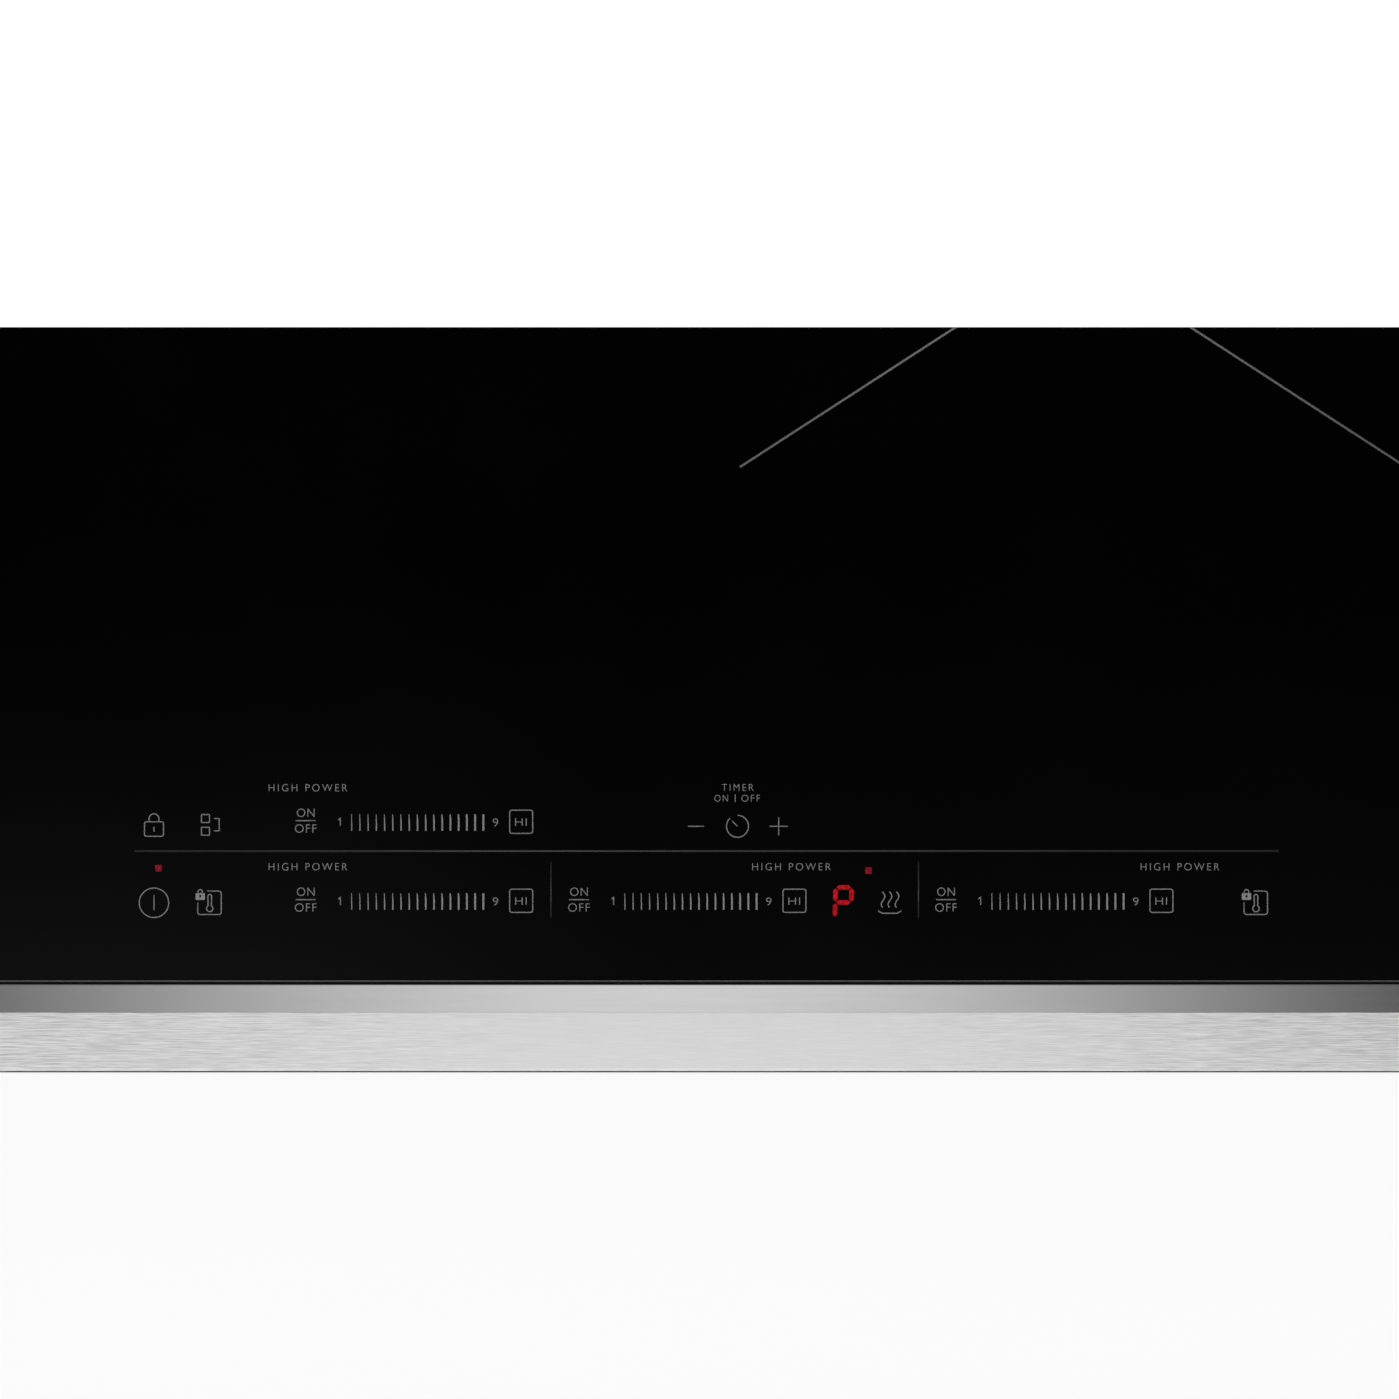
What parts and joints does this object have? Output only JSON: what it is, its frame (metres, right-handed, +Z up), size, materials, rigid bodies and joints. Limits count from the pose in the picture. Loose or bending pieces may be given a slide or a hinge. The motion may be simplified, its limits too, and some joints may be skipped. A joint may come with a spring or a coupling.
{
  "type": "induction cooktop",
  "caption": "Built-in electric induction cooktop: black glass-ceramic top with a stainless front rail, touch sliders, coils, fans and a steel housing tray.",
  "frame": {"origin": "centre of the flat housing floor, on the surface that it stands on", "axes": "+X to the right along the front rail, +Y to the rear, +Z up"},
  "size_m": [0.781, 0.546, 0.1012],
  "materials": {
    "glass_ceramic": "polished black glass-ceramic",
    "stainless": "brushed along its length, with a polished bevel",
    "zinc_steel": "zinc-plated sheet steel",
    "foam": "closed-cell foam",
    "silicone": "cured silicone bead",
    "aluminium": "mill finish",
    "copper": "enamelled copper strands",
    "mica": "pressed mica sheet",
    "ferrite": "sintered ferrite",
    "circuit_board": "solder-resist on glass laminate",
    "light_plastic": "moulded",
    "black_plastic": "moulded"
  },
  "bodies": {
    "cooktop": {"adhesive_bead": "silicone", "bus_capacitor_left": "aluminium", "bus_capacitor_right": "aluminium", "coil_carrier": "aluminium", "coil_former_front_left": "black_plastic", "coil_former_rear_centre": "black_plastic", "coil_former_rear_left": "black_plastic", "coil_former_right": "black_plastic", "coil_winding_front_left": "copper", "coil_winding_rear_centre": "copper", "coil_winding_rear_left": "copper", "coil_winding_right": "copper", "conduit_gland": "zinc_steel", "control_tray": "black_plastic", "cover_hinge_pin": "zinc_steel", "display_front_left": "light_plastic", "display_rear_centre": "light_plastic", "display_rear_left": "light_plastic", "display_right": "light_plastic", "fan_frame_left": "black_plastic", "fan_frame_right": "black_plastic", "ferrite_star_front_left": "ferrite", "ferrite_star_rear_centre": "ferrite", "ferrite_star_rear_left": "ferrite", "ferrite_star_right": "ferrite", "filter_board": "circuit_board", "filter_choke": "copper", "front_rail": "stainless", "gland_locknut": "zinc_steel", "glass_frame": "zinc_steel", "glass_top": "glass_ceramic", "heatsink_left": "aluminium", "heatsink_right": "aluminium", "hold_down_bracket_left": "zinc_steel", "hold_down_bracket_right": "zinc_steel", "housing_tray": "zinc_steel", "insulation_disc_front_left": "mica", "insulation_disc_rear_centre": "mica", "insulation_disc_rear_left": "mica", "insulation_disc_right": "mica", "power_board_left": "circuit_board", "power_board_right": "circuit_board", "rail_end_cap_left": "stainless", "rail_end_cap_right": "stainless", "seal_gasket": "foam", "temperature_sensor_front_left": "light_plastic", "temperature_sensor_rear_centre": "light_plastic", "temperature_sensor_rear_left": "light_plastic", "temperature_sensor_right": "light_plastic", "terminal_block": "light_plastic", "touch_board": "circuit_board", "transistor_bank_left": "black_plastic", "transistor_bank_right": "black_plastic"},
    "fan_rotor_left": {"fan_impeller_left": "black_plastic", "fan_shaft_left": "zinc_steel"},
    "fan_rotor_right": {"fan_impeller_right": "black_plastic", "fan_shaft_right": "zinc_steel"},
    "terminal_flap": {"terminal_cover": "black_plastic"},
    "clamp_left": {"clamp_screw_left": "zinc_steel"},
    "clamp_right": {"clamp_screw_right": "zinc_steel"}
  },
  "joints": [
    {"name": "fan_spin_left", "type": "hinge", "parent": "cooktop", "child": "fan_rotor_left", "pos_m": [-0.098, -0.153, 0.0011], "axis": [0, 0, 1], "continuous": true},
    {"name": "fan_spin_right", "type": "hinge", "parent": "cooktop", "child": "fan_rotor_right", "pos_m": [0.098, -0.153, 0.0011], "axis": [0, 0, 1], "continuous": true},
    {"name": "terminal_flap_hinge", "type": "hinge", "parent": "cooktop", "child": "terminal_flap", "pos_m": [0.275, 0.2168, 0.0715], "axis": [1, 0, 0], "range_deg": [0, 90]},
    {"name": "clamp_travel_left", "type": "slide", "parent": "cooktop", "child": "clamp_left", "axis": [0, 0, 1], "range_m": [0, 0.017]},
    {"name": "clamp_travel_right", "type": "slide", "parent": "cooktop", "child": "clamp_right", "axis": [0, 0, 1], "range_m": [0, 0.017]}
  ]
}
